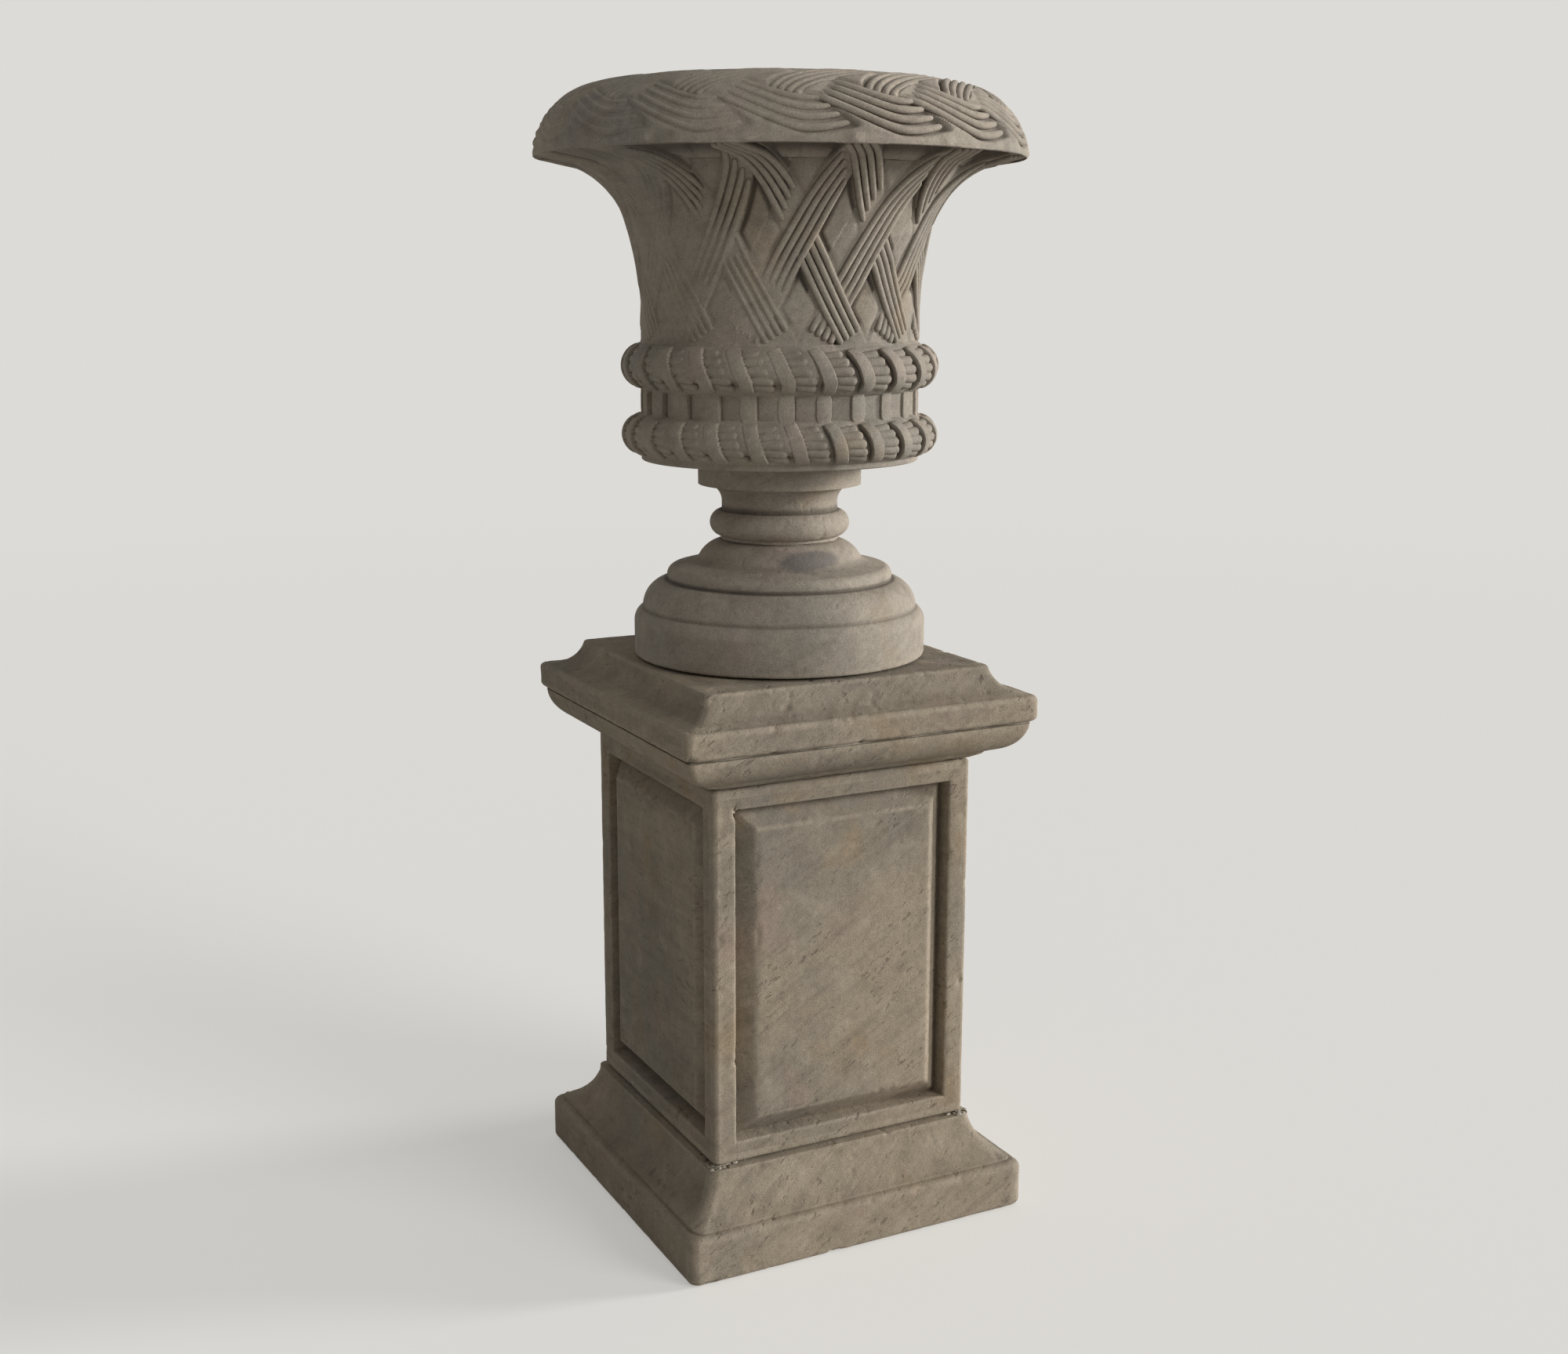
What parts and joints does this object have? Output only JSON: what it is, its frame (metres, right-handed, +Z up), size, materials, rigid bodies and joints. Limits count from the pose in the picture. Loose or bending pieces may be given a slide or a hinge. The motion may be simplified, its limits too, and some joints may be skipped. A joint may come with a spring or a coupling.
{
  "type": "garden urn on plinth",
  "caption": "Carved stone garden urn with a basket-weave bowl and rolled rim, on a turned foot and a square panelled plinth; the bowl holds planting and drains through its stem.",
  "frame": {"origin": "centre of the base's underside, on the ground", "axes": "+Z up along the urn's axis; the plinth's panels face -Y (the front), +X, +Y and -X"},
  "size_m": [0.6609, 0.661, 1.5495],
  "materials": {
    "sandstone": "weathered buff sandstone",
    "lime_mortar": "raked lime mortar",
    "stainless_steel": "drawn bar",
    "lead": "dull lead sheet"
  },
  "bodies": {
    "plinth": {"plinth_base": "sandstone", "base_mortar": "lime_mortar", "base_dowels": "stainless_steel", "plinth_die": "sandstone", "die_mortar": "lime_mortar", "die_dowels": "stainless_steel", "cap_bed_mould": "sandstone", "cap_mortar": "lime_mortar", "cap_dowels": "stainless_steel", "cap_slab": "sandstone", "locating_pins": "stainless_steel", "setting_pads": "lead"},
    "urn": {"urn_foot": "sandstone", "foot_mortar": "lime_mortar", "foot_dowels": "stainless_steel", "urn_stem": "sandstone", "stem_mortar": "lime_mortar", "stem_dowels": "stainless_steel", "urn_bowl": "sandstone", "drain_pipe": "stainless_steel"}
  },
  "joints": [
    {"name": "urn_lift", "type": "slide", "parent": "plinth", "child": "urn", "axis": [0, 0, 1], "range_m": [0, 0.15]}
  ]
}
